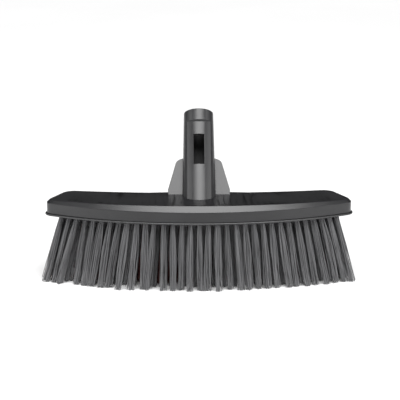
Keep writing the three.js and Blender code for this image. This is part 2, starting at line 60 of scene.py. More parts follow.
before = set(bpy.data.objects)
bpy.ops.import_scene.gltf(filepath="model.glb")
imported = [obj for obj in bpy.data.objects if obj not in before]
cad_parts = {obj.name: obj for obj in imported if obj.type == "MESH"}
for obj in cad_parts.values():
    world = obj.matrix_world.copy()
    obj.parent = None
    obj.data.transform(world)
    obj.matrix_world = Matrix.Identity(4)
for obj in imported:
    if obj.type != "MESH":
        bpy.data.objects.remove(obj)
cad_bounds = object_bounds()
board_low, board_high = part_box("bristle_board")
cover_low, cover_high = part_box("head_cover")
socket_low, socket_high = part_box("handle_socket")

# The lip's front edge on the centre line, and the heights that the frame fixes.
FRONT = board_low.y
LIP_BOTTOM = board_low.z
PLUG_TOP = board_high.z
COVER_BOTTOM = cover_low.z
COVER_TOP = cover_high.z
FOOT_BOTTOM = socket_low.z

# Steps along the arcs of the head's outline.
FRONT_STEPS = 22
CORNER_STEPS = 8
BACK_STEPS = 12
BULGE_STEPS = 8


# ---- Sizes and colours --------------------------------------------------------------------------


def length(name, default, description):
    """A size in metres."""
    return FloatProperty(name=name, description=description, default=default, unit="LENGTH")


def angle(name, degrees, description):
    """An angle, given in degrees and kept in radians."""
    return FloatProperty(
        name=name, description=description, default=math.radians(degrees), subtype="ANGLE"
    )


def colour(name, default, description):
    """A linear colour."""
    return FloatVectorProperty(
        name=name, description=description, default=default, subtype="COLOR", size=3, min=0, max=1
    )


class BroomHeadSizes(bpy.types.PropertyGroup):
    width: length("Width", 0.3946, "Head across its lip")
    depth: length("Depth", 0.089, "Front lip to back lip on the centre line")
    front_radius: length("Front Radius", 0.392, "Convex front edge")
    back_radius: length("Back Radius", 0.611, "Hollow back edge")
    end_angle: angle("End Angle", 25, "How far each end leans inwards towards the back")
    front_corner: length("Front Corner", 0.0163, "Radius of the front corners")
    back_corner: length("Back Corner", 0.0203, "Radius of the back corners")
    bulge_half_width: length("Bulge Half Width", 0.064, "Half of the swelling behind the socket")
    bulge_depth: length("Bulge Depth", 0.0055, "How far the swelling stands out")
    lip_thickness: length("Lip Thickness", 0.0024, "Board's edge below the cover")
    lip_overhang: length("Lip Overhang", 0.0023, "How far the lip stands out past the cover")
    lip_rounding: length("Lip Rounding", 0.0016, "Radius of the lip's upper edge")
    face_height: length("Face Height", 0.0131, "Upright face of the cover")
    bevel: length("Bevel", 0.0068, "Sloping edge above the face")
    edge_rounding: length("Edge Rounding", 0.0008, "Radius of the cover's edges")
    crown_radius: length("Crown Radius", 5.2, "Lengthwise curve of the top")
    wall: length("Wall", 0.0025, "Thickness of the cover")
    clearance: length("Clearance", 0.0003, "Gap between pieces that touch")


class BroomSocketSizes(bpy.types.PropertyGroup):
    setback: length("Setback", 0.0665, "Front lip to the socket's axis at the cover's top")
    tilt: angle("Tilt", 33.5, "Lean of the socket back from upright")
    length: length("Length", 0.1132, "Cover's top to the mouth, along the axis")
    mouth_radius: length("Mouth Radius", 0.0192, "Outside of the tube at its mouth")
    base_radius: length("Base Radius", 0.0214, "Outside of the tube at the cover's top")
    bore_radius: length("Bore Radius", 0.014, "Hole that takes the handle")
    bore_depth: length("Bore Depth", 0.1095, "Depth of that hole")
    panel_half_width: length("Panel Half Width", 0.0156, "Half of the flatter front panel")
    panel_radius: length("Panel Radius", 0.024, "Curve of the panel across the tube")
    panel_step: length("Panel Step", 0.0002, "How far the panel's long edges lie below the tube")
    collar_height: length("Collar Height", 0.0158, "Round collar at the mouth")
    panel_dip: bpy.props.FloatProperty(
        name="Panel Dip",
        description="How far the panel's top edge drops for each metre that the panel stands out",
        default=0.354,
        min=0,
    )
    window_width: length("Window Width", 0.014, "Window for the handle's button")
    window_height: length("Window Height", 0.0421, "Window along the axis")
    window_drop: length("Window Drop", 0.0352, "Mouth to the window's upper edge")
    wing_thickness: length("Wing Thickness", 0.0045, "Thickness of the side wings")
    wing_setback: length("Wing Setback", 0.007, "Wings' middle plane behind the axis")
    wing_base: length("Wing Base", 0.0399, "Half width of the wings at the cover")
    wing_straight: length("Wing Straight", 0.01, "Upright part of a wing's outer edge")
    wing_shoulder: length("Wing Shoulder", 0.029, "Half width of the wings at their shoulders")
    shoulder_height: length("Shoulder Height", 0.0496, "Shoulders above the cover")
    wing_top: length("Wing Top", 0.0534, "Height at which the wings meet the tube")


class BroomBristleSizes(bpy.types.PropertyGroup):
    pitch: length("Pitch", 0.0114, "Tuft to tuft along a row")
    margin: length("Margin", 0.009, "First and last row from the lip's edge")
    hole_radius: length("Hole Radius", 0.003, "Tuft hole in the board")
    hole_depth: length("Hole Depth", 0.0115, "Depth of a tuft hole")
    root_radius: length("Root Radius", 0.0024, "Tuft where it leaves the board")
    strand_radius: length("Strand Radius", 0.00046, "One bristle")
    strands: IntProperty(name="Strands", description="Bristles in a tuft", default=34)
    fan: angle("Fan", 16.5, "Sideways lean of a tuft at the very end of the head")
    splay: angle("Splay", 6, "Forward lean of the first row and backward lean of the last")
    ragged: length("Ragged", 0.006, "How much the bristles differ in length")
    wander: length("Wander", 0.0013, "How far a bristle strays from straight")
    tuft_wander: length("Tuft Wander", 0.0022, "How far the tips of a whole tuft stray")
    seed: IntProperty(name="Seed", description="Start of the random numbers", default=7)


class BroomFinish(bpy.types.PropertyGroup):
    cover: colour("Cover", (0.012, 0.012, 0.013), "Plastic of the cover and the board")
    socket: colour("Socket", (0.018, 0.018, 0.019), "Plastic of the handle socket")
    stiff: colour("Stiff Bristle", (0.118, 0.117, 0.12), "Outer rows")
    soft: colour("Soft Bristle", (0.11, 0.036, 0.03), "Inner rows")
    steel: colour("Steel", (0.56, 0.57, 0.58), "Screws")


class BroomStageSettings(bpy.types.PropertyGroup):
    elevation: angle("Elevation", 14, "Camera above the horizon")
    turn: angle("Turn", -0.7, "Camera to the right of the middle of the head")
    distance: length("Distance", 2.0, "Camera to its target")
    lens: FloatProperty(name="Lens", description="Focal length in millimetres", default=141.73)
    target: FloatVectorProperty(
        name="Target", description="Camera's aim", default=(0.0009, -0.0247, 0.1067), size=3
    )
    floor_colour: colour("Floor", (0.72, 0.72, 0.72), "Pale floor")
    light_elevation: angle("Light Elevation", 68, "Softbox above the horizon, in front")
    light_turn: angle("Light Turn", 8, "Softbox to the right of the middle")
    light_width: angle("Light Width", 48, "How wide the softbox looks from the object")
    light_strength: FloatProperty(name="Light Strength", description="Softbox", default=4.5)
    side_strength: FloatProperty(name="Side Strength", description="Side screens", default=2.8)
    fill_strength: FloatProperty(name="Fill Strength", description="Room light", default=0.06)


# ---- Mesh helpers -------------------------------------------------------------------------------


def verts_of(geometry):
    """The vertices in a list of mesh elements."""
    return [g for g in geometry if isinstance(g, bmesh.types.BMVert)]


def faces_of(geometry):
    """The faces in a list of mesh elements."""
    return [g for g in geometry if isinstance(g, bmesh.types.BMFace)]


def spin_on(bm, corner, centre, turn, steps):
    """Draws an arc of edges on from a corner, about a centre in plan. Returns the arc's last corner."""
    made = bmesh.ops.spin(
        bm,
        geom=[corner],
        cent=(centre.x, centre.y, corner.co.z),
        axis=(0, 0, 1),
        angle=turn,
        steps=steps,
    )
    return verts_of(made["geom_last"])[0]


def line_to(bm, corner, x, y):
    """Draws a straight edge on from a corner, at the same height. Returns its far corner."""
    made = bmesh.ops.extrude_vert_indiv(bm, verts=[corner])
    made["verts"][0].co = (x, y, corner.co.z)
    return made["verts"][0]


class Ring:
    """A closed ring of edges, half drawn and then mirrored across the middle of the object."""

    def __init__(self, bm, draw):
        old_verts = set(bm.verts)
        old_edges = set(bm.edges)
        draw(bm)
        half = [v for v in bm.verts if v not in old_verts]
        for corner in half:
            if abs(corner.co.x) < 1e-7:
                corner.co.x = 0
        geometry = half + [e for e in bm.edges if e not in old_edges]
        bmesh.ops.mirror(bm, geom=geometry, matrix=Matrix(), merge_dist=1e-7, axis="X")
        self.verts = [v for v in bm.verts if v not in old_verts]
        self.edges = [e for e in bm.edges if e not in old_edges]


def rounded(corners, radii, steps=3):
    """A polyline with its inner corners rounded. Corners and results are pairs of numbers."""
    points = [Vector(corners[0])]
    for before, corner, after, radius in zip(corners, corners[1:], corners[2:], radii):
        corner = Vector(corner)
        back = (Vector(before) - corner).normalized()
        ahead = (Vector(after) - corner).normalized()
        reach = radius / math.tan(back.angle(ahead) / 2)
        start = corner + back * reach
        end = corner + ahead * reach
        for i in range(steps + 1):
            t = i / steps
            points.append(start * (1 - t) ** 2 + corner * 2 * t * (1 - t) + end * t**2)
    points.append(Vector(corners[-1]))
    return points


SHARP = math.radians(32)


def finish_mesh(bm, name, material, weighted=True):
    """Turns a bmesh into an object with smooth faces that point outwards."""
    bmesh.ops.remove_doubles(bm, verts=bm.verts, dist=1e-7)
    bmesh.ops.dissolve_degenerate(bm, edges=bm.edges, dist=1e-7)
    bmesh.ops.recalc_face_normals(bm, faces=bm.faces)
    for face in bm.faces:
        face.smooth = True
    for edge in bm.edges:
        if edge.calc_face_angle(0) > SHARP:
            edge.smooth = False
    mesh = bpy.data.meshes.new(name)
    bm.to_mesh(mesh)
    bm.free()
    piece = bpy.data.objects.new(name, mesh)
    bpy.context.scene.collection.objects.link(piece)
    mesh.materials.append(material)
    if weighted:
        even = piece.modifiers.new("even_shading", "WEIGHTED_NORMAL")
        even.keep_sharp = True
    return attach(piece, "root")


# ---- Materials ----------------------------------------------------------------------------------


def new_material(name):
    """An empty node material with its shader and output, and a function that adds linked nodes."""
    material = bpy.data.materials.new(name)
    material.use_nodes = True
    tree = material.node_tree
    tree.nodes.clear()
    output = tree.nodes.new("ShaderNodeOutputMaterial")
    shader = tree.nodes.new("ShaderNodeBsdfPrincipled")
    tree.links.new(shader.outputs["BSDF"], output.inputs["Surface"])

    def add(kind, inputs=None, **settings):
        made = tree.nodes.new(kind)
        for key, value in settings.items():
            setattr(made, key, value)
        for key, value in (inputs or {}).items():
            if isinstance(value, bpy.types.NodeSocket):
                tree.links.new(value, made.inputs[key])
            else:
                made.inputs[key].default_value = value
        return made

    return material, tree, shader, add


def two_tone(add, factor, dark, light, low=0.35, high=0.65):
    """A ramp from one colour to another. Returns its colour output."""
    ramp = add("ShaderNodeValToRGB", {"Fac": factor})
    ramp.color_ramp.elements[0].position = low
    ramp.color_ramp.elements[0].color = (*dark, 1)
    ramp.color_ramp.elements[1].position = high
    ramp.color_ramp.elements[1].color = (*light, 1)
    return ramp.outputs["Color"]


def moulded_plastic(name, base, roughness, grain):
    """Dark moulded plastic: a fine eroded grain, faint flow clouds and slightly uneven gloss."""
    material, tree, shader, add = new_material(name)
    place = add("ShaderNodeTexCoord").outputs["Object"]
    clouds = add("ShaderNodeTexNoise", {"Vector": place, "Scale": 28, "Detail": 4, "Roughness": 0.6})
    fine = add("ShaderNodeTexNoise", {"Vector": place, "Scale": 1400, "Detail": 2})
    dark = [c * 0.86 for c in base]
    light = [c * 1.16 for c in base]
    tree.links.new(
        two_tone(add, clouds.outputs["Fac"], dark, light), shader.inputs["Base Color"]
    )
    gloss = add(
        "ShaderNodeMapRange",
        {"Value": clouds.outputs["Fac"], "To Min": roughness - 0.035, "To Max": roughness + 0.035},
    )
    tree.links.new(gloss.outputs["Result"], shader.inputs["Roughness"])
    bump = add(
        "ShaderNodeBump", {"Height": fine.outputs["Fac"], "Strength": grain, "Distance": 0.0001}
    )
    tree.links.new(bump.outputs["Normal"], shader.inputs["Normal"])
    shader.inputs["IOR"].default_value = 1.5
    return material


def bristle_plastic(name, base, spread):
    """Extruded bristle: every strand has its own tone, with fine streaks along it."""
    material, tree, shader, add = new_material(name)
    tone = add("ShaderNodeAttribute", attribute_name="tone").outputs["Fac"]
    place = add("ShaderNodeTexCoord").outputs["Object"]
    stretched = add("ShaderNodeMapping", {"Vector": place, "Scale": (1500, 1500, 60)})
    streaks = add("ShaderNodeTexNoise", {"Vector": stretched.outputs["Vector"], "Scale": 1, "Detail": 2})
    mixed = add("ShaderNodeMath", {0: streaks.outputs["Fac"], 1: 0.3}, operation="MULTIPLY")
    factor = add("ShaderNodeMath", {0: tone, 1: mixed.outputs[0]}, operation="ADD")
    dark = [c / spread for c in base]
    light = [c * spread for c in base]
    tree.links.new(
        two_tone(add, factor.outputs[0], dark, light, 0.1, 1.0), shader.inputs["Base Color"]
    )
    gloss = add("ShaderNodeMapRange", {"Value": streaks.outputs["Fac"], "To Min": 0.32, "To Max": 0.5})
    tree.links.new(gloss.outputs["Result"], shader.inputs["Roughness"])
    shader.inputs["IOR"].default_value = 1.5
    return material


def zinc_steel(name, base):
    """Zinc-plated steel: cloudy brightness with fine scratches."""
    material, tree, shader, add = new_material(name)
    place = add("ShaderNodeTexCoord").outputs["Object"]
    clouds = add("ShaderNodeTexNoise", {"Vector": place, "Scale": 900, "Detail": 5})
    dark = [c * 0.7 for c in base]
    tree.links.new(
        two_tone(add, clouds.outputs["Fac"], dark, base), shader.inputs["Base Color"]
    )
    gloss = add("ShaderNodeMapRange", {"Value": clouds.outputs["Fac"], "To Min": 0.25, "To Max": 0.45})
    tree.links.new(gloss.outputs["Result"], shader.inputs["Roughness"])
    shader.inputs["Metallic"].default_value = 1
    return material


# ---- Head outline -------------------------------------------------------------------------------


class Outline:
    """Centres and turns of the arcs that make up the head's outline in plan."""

    def __init__(self, head):
        self.head = head
        self.front_centre = Vector((0, FRONT + head.front_radius))
        self.back_centre = Vector((0, FRONT + head.depth + head.back_radius))
        x = head.width / 2 - head.front_corner
        reach = head.front_radius - head.front_corner
        self.front_corner = Vector((x, self.front_centre.y - math.sqrt(reach**2 - x**2)))
        normal = Vector((math.cos(head.end_angle), math.sin(head.end_angle)))
        along = Vector((-normal.y, normal.x))
        to_end = (self.front_corner.dot(normal) + head.front_corner) - head.back_corner
        foot = normal * to_end
        to_foot = foot - self.back_centre
        half = to_foot.dot(along)
        reach = head.back_radius + head.back_corner
        root = math.sqrt(half**2 - to_foot.length_squared + reach**2)
        self.back_corner = foot + along * (-half - root)
        self.normal = normal
        down = self.front_corner - self.front_centre
        self.front_angle = math.atan2(down.y, down.x)
        up = self.back_centre - self.back_corner
        self.back_angle = math.atan2(up.y, up.x)
        shoulder = self.back_centre.y - math.sqrt(
            head.back_radius**2 - head.bulge_half_width**2
        )
        peak = FRONT + head.depth + head.bulge_depth
        rise = peak - shoulder
        self.bulge_radius = (head.bulge_half_width**2 + rise**2) / (2 * rise)
        self.bulge_centre = Vector((0, peak - self.bulge_radius))

    def ring(self, bm, inset, height):
        """The outline moved inwards by inset, as a ring of edges."""
        head = self.head
        back_radius = head.back_radius + inset
        bulge_radius = self.bulge_radius - inset
        apart = self.back_centre.y - self.bulge_centre.y
        meet = (apart**2 + bulge_radius**2 - back_radius**2) / (2 * apart)
        bulge_turn = math.acos(meet / bulge_radius)
        back_meet = math.asin(bulge_radius * math.sin(bulge_turn) / back_radius)

        def draw(bm):
            quarter = math.pi / 2
            corner = bm.verts.new((0, FRONT + inset, height))
            corner = spin_on(
                bm, corner, self.front_centre, self.front_angle + quarter, FRONT_STEPS
            )
            turn = head.end_angle - self.front_angle
            corner = spin_on(bm, corner, self.front_corner, turn, CORNER_STEPS)
            radius = head.back_corner - inset
            end = self.back_corner + self.normal * radius
            corner = line_to(bm, corner, end.x, end.y)
            turn = self.back_angle - head.end_angle
            corner = spin_on(bm, corner, self.back_corner, turn, CORNER_STEPS)
            turn = (back_meet - quarter) - (self.back_angle - math.pi)
            corner = spin_on(bm, corner, self.back_centre, turn, BACK_STEPS)
            spin_on(bm, corner, self.bulge_centre, bulge_turn, BULGE_STEPS)

        return Ring(bm, draw)


def bridge(bm, ring_a, ring_b):
    """Joins two rings by a band of faces."""
    bmesh.ops.bridge_loops(bm, edges=ring_a.edges + ring_b.edges)


# ---- Head cover ---------------------------------------------------------------------------------


def crown_drop(head, x):
    """How far the lengthwise curve lies below the cover's top at x."""
    return x**2 / (2 * head.crown_radius)


def socket_hole(bm, socket, clearance, height):
    """The tube and both wings cut by a level plane, as a ring of edges."""
    cos_tilt = math.cos(socket.tilt)
    shape = TubeShape(socket)
    radius = socket.base_radius + clearance
    base = socket.wing_base + clearance
    near = socket.wing_setback - socket.wing_thickness / 2 - clearance
    far = socket.wing_setback + socket.wing_thickness / 2 + clearance
    middle = Vector((0, 0))

    def draw(bm):
        start = math.asin(near / radius)
        end = math.asin(far / radius)
        panel = socket.panel_radius + clearance
        half = socket.panel_half_width - clearance
        front = shape.outside(0, 0, "panel").y - clearance
        corner = bm.verts.new((0, front, height))
        turn = math.asin(half / panel)
        corner = spin_on(bm, corner, Vector((0, front + panel)), turn, 8)
        turn = math.asin(half / radius)
        corner = line_to(bm, corner, half, -radius * math.cos(turn))
        corner = spin_on(bm, corner, middle, math.pi / 2 + start - turn, 10)
        corner = line_to(bm, corner, base, near)
        corner = line_to(bm, corner, base, far)
        corner = line_to(bm, corner, radius * math.cos(end), far)
        spin_on(bm, corner, middle, math.pi / 2 - end, 10)

    ring = Ring(bm, draw)
    for corner in ring.verts:
        if corner.co.xy.length < radius + clearance:
            taper = shape.radius(corner.co.y * math.tan(socket.tilt)) / socket.base_radius
            corner.co.xy *= taper
    axis_y = FRONT + socket.setback + (height - COVER_TOP) * math.tan(socket.tilt)
    bmesh.ops.scale(bm, vec=(1, 1 / cos_tilt, 1), verts=ring.verts)
    bmesh.ops.translate(bm, vec=(0, axis_y, 0), verts=ring.verts)
    return ring


def cap_with_hole(bm, head, outer, hole):
    """A level sheet between the cover's outline and the socket's hole, cut across into strips."""
    made = bmesh.ops.triangle_fill(bm, use_beauty=True, edges=outer.edges + hole.edges)
    sheet = set(faces_of(made["geom"]))
    pitch = 0.008
    count = int(head.width / 2 / pitch)
    for i in range(-count, count + 1):
        geometry = list(sheet)
        geometry += list({e for f in sheet for e in f.edges})
        geometry += list({v for f in sheet for v in f.verts})
        cut = bmesh.ops.bisect_plane(
            bm, geom=geometry, dist=1e-7, plane_co=(i * pitch, 0, 0), plane_no=(1, 0, 0)
        )
        sheet = set(faces_of(cut["geom"]))
    inside = {
        e
        for f in sheet
        for e in f.edges
        if len(e.link_faces) == 2 and all(g in sheet for g in e.link_faces)
    }
    slanting = [e for e in inside if abs(e.verts[0].co.x - e.verts[1].co.x) > 1e-5]
    bmesh.ops.dissolve_edges(bm, edges=slanting, use_verts=False)


def head_cover_mesh(head, socket):
    """A thin-walled crescent, open below, with a rounded 45 degree edge and a crowned top.

    It is drawn with a level top. The crown then lowers the top, and moves its edge outwards as far.
    """
    bm = bmesh.new()
    outline = Outline(head)
    face = head.lip_overhang
    inner = face + head.wall
    slope = head.wall * math.tan(math.pi / 8)
    face_top = COVER_BOTTOM + head.face_height
    under = COVER_TOP - head.wall
    rim = 0.003
    corners = [
        (face + head.bevel + slope + rim, under),
        (face + head.bevel + slope, under),
        (inner, face_top - slope),
        (inner, COVER_BOTTOM),
        (face, COVER_BOTTOM),
        (face, face_top),
        (face + head.bevel, COVER_TOP),
        (face + head.bevel + rim, COVER_TOP),
    ]
    edge = head.edge_rounding
    profile = rounded(corners, [edge, edge, edge / 4, edge / 4, edge, edge])
    rings = [outline.ring(bm, inset, height) for inset, height in profile]
    for ring_a, ring_b in zip(rings, rings[1:]):
        bridge(bm, ring_a, ring_b)
    inwards = [
        Vector((b.co.x - a.co.x, b.co.y - a.co.y, 0)).normalized()
        for a, b in zip(rings[-6].verts, rings[-1].verts)
    ]
    lip = 0.0004
    levels = [
        (lip, COVER_TOP),
        (lip * 0.3, COVER_TOP - lip * 0.3),
        (0, COVER_TOP - lip),
        (0, under),
    ]
    holes = [socket_hole(bm, socket, head.clearance + grow, z) for grow, z in levels]
    for ring_a, ring_b in zip(holes, holes[1:]):
        bridge(bm, ring_a, ring_b)
    cap_with_hole(bm, head, rings[-1], holes[0])
    cap_with_hole(bm, head, rings[0], holes[-1])
    for ring, (_, height) in zip(rings[1:-1], profile[1:-1]):
        if height > face_top + head.bevel / 2:
            for corner, inward in zip(ring.verts, inwards):
                corner.co -= inward * crown_drop(head, corner.co.x)
    for corner in bm.verts:
        if corner.co.z > face_top + head.bevel / 2:
            corner.co.z -= crown_drop(head, corner.co.x)
    return bm


# ---- Bristle layout -----------------------------------------------------------------------------


def mix(a, b, share):
    """The value a share of the way from a to b."""
    return a + (b - a) * share


class Tuft:
    """One tuft's place on the board, and its lean for each metre down."""

    def __init__(self, head, bristles, row, rows, station):
        share = row / (rows - 1)
        first = 1 / (head.front_radius - bristles.margin)
        last = 1 / (head.back_radius + bristles.margin)
        radius = 1 / mix(first, last, share)
        start = FRONT + mix(bristles.margin, head.depth - bristles.margin, share)
        self.angle = station / radius
        self.x = radius * math.sin(self.angle)
        self.y = start + radius * (1 - math.cos(self.angle))
        self.lean_x = math.tan(bristles.fan * self.x / (head.width / 2))
        self.lean_y = -math.tan(mix(bristles.splay, -bristles.splay, share))


ROWS = 6


def row_tufts(head, bristles, row):
    """The tufts of a row, from its middle outwards, as far as the frame's own row reaches."""
    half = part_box(f"bristle_row_{row + 1}")[1].x
    shift = 0.5 if row % 2 else 0
    tufts = []
    index = 0
    while True:
        station = (index + shift) * bristles.pitch
        tuft = Tuft(head, bristles, row, ROWS, station)
        if tuft.x + LIP_BOTTOM * tuft.lean_x + bristles.root_radius > half:
            return tufts
        tufts.append(tuft)
        if station > 0:
            tufts.append(Tuft(head, bristles, row, ROWS, -station))
        index += 1


# ---- Bristle board ------------------------------------------------------------------------------


def bristle_board_mesh(head, bristles):
    """A flat lip below a plug, with a blind hole for every tuft and a recess for every screw."""
    bm = bmesh.new()
    outline = Outline(head)
    lip_top = LIP_BOTTOM + head.lip_thickness
    plug = head.lip_overhang + head.wall + head.clearance
    chamfer = 0.0005
    corners = [
        (0.002, LIP_BOTTOM),
        (0, LIP_BOTTOM),
        (0, lip_top),
        (plug, lip_top),
        (plug, PLUG_TOP),
        (plug + 0.002, PLUG_TOP),
    ]
    profile = rounded(corners, [chamfer, head.lip_rounding, chamfer, chamfer])
    rings = [outline.ring(bm, inset, height) for inset, height in profile]
    for ring_a, ring_b in zip(rings, rings[1:]):
        bridge(bm, ring_a, ring_b)
    bmesh.ops.contextual_create(bm, geom=rings[-1].edges)
    old = set(bm.verts)
    for row in range(ROWS):
        for tuft in row_tufts(head, bristles, row):
            bmesh.ops.create_circle(
                bm,
                segments=12,
                radius=bristles.hole_radius,
                matrix=Matrix.Translation((tuft.x, tuft.y, LIP_BOTTOM)),
            )
    for number in range(1, 7):
        low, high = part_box(f"board_screw_{number}")
        bmesh.ops.create_circle(
            bm,
            segments=20,
            radius=(high.x - low.x) / 2 + head.clearance,
            matrix=Matrix.Translation(((low.x + high.x) / 2, (low.y + high.y) / 2, LIP_BOTTOM)),
        )
    holes = [v for v in bm.verts if v not in old]
    hole_edges = list({e for v in holes for e in v.link_edges})
    bmesh.ops.triangle_fill(bm, use_beauty=True, edges=rings[0].edges + hole_edges)
    walls = bmesh.ops.extrude_edge_only(bm, edges=hole_edges)["geom"]
    bmesh.ops.translate(bm, vec=(0, 0, bristles.hole_depth), verts=verts_of(walls))
    ends = [g for g in walls if isinstance(g, bmesh.types.BMEdge)]
    bmesh.ops.holes_fill(bm, edges=ends)
    return bm


# ---- Bristles -----------------------------------------------------------------------------------

STRAND_STEPS = 4
STRAND_SIDES = 5


def strand_template():
    """One straight strand of unit radius, from height 0 down to -1."""
    bm = bmesh.new()
    made = bmesh.ops.create_circle(bm, cap_ends=True, segments=STRAND_SIDES, radius=1)
    end = made["verts"][0].link_faces[0]
    for _ in range(STRAND_STEPS):
        grown = bmesh.ops.extrude_face_region(bm, geom=[end])["geom"]
        bmesh.ops.translate(bm, vec=(0, 0, -1 / STRAND_STEPS), verts=verts_of(grown))
        end = faces_of(grown)[0]
    bmesh.ops.recalc_face_normals(bm, faces=bm.faces)
    bm.verts.layers.float.new("tone")
    template = bpy.data.meshes.new("strand")
    bm.to_mesh(template)
    bm.free()
    return template


def random_in_disk(chance, radius):
    """A random place in a disk, evenly spread."""
    reach = radius * math.sqrt(chance.random())
    turn = chance.uniform(0, 2 * math.pi)
    return Vector((reach * math.cos(turn), reach * math.sin(turn)))


def add_tuft(bm, template, tuft, bristles, spread, chance):
    """Adds the strands of one tuft, packed in its hole and spreading towards their tips."""
    tone = bm.verts.layers.float["tone"]
    root_height = LIP_BOTTOM + bristles.hole_depth * 0.6
    tuft_tone = chance.uniform(0.0, 0.25)
    tuft_stray = Vector((chance.gauss(0, 1), chance.gauss(0, 1))) * bristles.tuft_wander
    cos_turn = math.cos(tuft.angle)
    sin_turn = math.sin(tuft.angle)
    for _ in range(bristles.strands):
        start = len(bm.verts)
        bm.from_mesh(template)
        bm.verts.ensure_lookup_table()
        root = random_in_disk(chance, 1)
        tip = root * 0.62 + random_in_disk(chance, 0.55)
        stray = Vector((chance.gauss(0, 1), chance.gauss(0, 1))) * bristles.wander
        tip_height = bristles.ragged * chance.random() ** 1.6
        strand_tone = tuft_tone + chance.random() * 0.75
        twist = chance.uniform(0, 2 * math.pi)
        for corner in bm.verts[start:]:
            along = -corner.co.z
            height = mix(root_height, tip_height, along)
            flare = along**0.95
            across = Vector(
                (
                    mix(root.x * bristles.root_radius, tip.x * spread.x, flare),
                    mix(root.y * bristles.root_radius, tip.y * spread.y, flare),
                )
            )
            across += stray * math.sin(math.pi * along) + tuft_stray * along
            down = LIP_BOTTOM - height
            turned = Vector(
                (
                    across.x * cos_turn - across.y * sin_turn,
                    across.x * sin_turn + across.y * cos_turn,
                )
            )
            radius = bristles.strand_radius
            side_x = corner.co.x * math.cos(twist) - corner.co.y * math.sin(twist)
            side_y = corner.co.x * math.sin(twist) + corner.co.y * math.cos(twist)
            x = tuft.x + turned.x + tuft.lean_x * down + side_x * radius
            y = tuft.y + turned.y + tuft.lean_y * down + side_y * radius
            (low_x, low_y, _), (high_x, high_y, _) = cad_bounds
            corner.co = (min(max(x, low_x), high_x), min(max(y, low_y), high_y), height)
            corner[tone] = strand_tone


def bristle_row_mesh(head, bristles, row):
    """All the strands of one row."""
    low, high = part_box(f"bristle_row_{row + 1}")
    tufts = row_tufts(head, bristles, row)
    last = max(tufts, key=lambda tuft: tuft.x)
    spread_x = high.x - last.x - LIP_BOTTOM * last.lean_x - 2 * bristles.strand_radius
    middle = min(tufts, key=lambda tuft: abs(tuft.x))
    front = middle.y + LIP_BOTTOM * middle.lean_y - low.y
    spread_y = max(0.002, min(front, spread_x) - 2 * bristles.strand_radius)
    template = strand_template()
    bm = bmesh.new()
    bm.verts.layers.float.new("tone")
    for number, tuft in enumerate(sorted(tufts, key=lambda tuft: tuft.x)):
        chance = random.Random(1000 * bristles.seed + 100 * row + number)
        add_tuft(bm, template, tuft, bristles, Vector((spread_x, spread_y)), chance)
    bpy.data.meshes.remove(template)
    return bm


# ---- Handle socket ------------------------------------------------------------------------------

# Columns round the tube, counted from the middle of its front to the middle of its back.
WINDOW_COLUMN = 2
PANEL_COLUMN = 6
BACK_COLUMN = 30


class TubeShape:
    """Places on the handle tube, in the socket's own frame: Z along its axis, -Y to its front."""

    def __init__(self, socket):
        self.socket = socket
        self.panel_top = socket.length - socket.collar_height
        self.window_top = socket.length - socket.window_drop
        self.window_bottom = self.window_top - socket.window_height
        self.panel_edge = -self.outside(PANEL_COLUMN, self.panel_top, "panel").y

    def radius(self, height):
        """Outside of the tube."""
        socket = self.socket
        return mix(socket.base_radius, socket.mouth_radius, height / socket.length)

    def front_x(self, column, height):
        """Sideways place of a front column."""
        socket = self.socket
        window = socket.window_width / 2
        stops = [0, window / 2, window, 0.0082, 0.0093, 0.0125, socket.panel_half_width]
        return stops[column]

    def outside(self, column, height, style, shrink=0):
        """A column's place on the tube's outside: on the panel or on the round."""
        radius = self.radius(height) - shrink
        if column > PANEL_COLUMN:
            edge = math.asin(self.socket.panel_half_width / radius)
            share = (column - PANEL_COLUMN - 1) / (BACK_COLUMN - PANEL_COLUMN - 1)
            turn = mix(edge, math.pi, share)
            return Vector((radius * math.sin(turn), -radius * math.cos(turn)))
        x = self.front_x(column, height)
        y = math.sqrt(radius**2 - x**2)
        if style == "panel":
            socket = self.socket
            half = socket.panel_half_width
            edge = math.sqrt(radius**2 - half**2) - socket.panel_step
            curve = socket.panel_radius
            y = edge - math.sqrt(curve**2 - half**2) + math.sqrt(curve**2 - x**2)
        return Vector((x, -y))

    def inside(self, column, radius):
        """A column's place on the bore."""
        if column <= WINDOW_COLUMN:
            x = self.front_x(column, 0)
            return Vector((x, -math.sqrt(radius**2 - x**2)))
        edge = math.asin(self.socket.window_width / 2 / radius)
        turn = mix(edge, math.pi, (column - WINDOW_COLUMN) / (BACK_COLUMN - WINDOW_COLUMN))
        return Vector((radius * math.sin(turn), -radius * math.cos(turn)))


def place_ring(ring, height, place, rise=None):
    """Puts a ring's corners where place says for their column, mirrored on the left."""
    for column, corner in ring.items():
        spot = place(abs(column))
        level = height + (rise(abs(column)) if rise else 0)
        corner.co = (math.copysign(spot.x, column) if column else spot.x, spot.y, level)


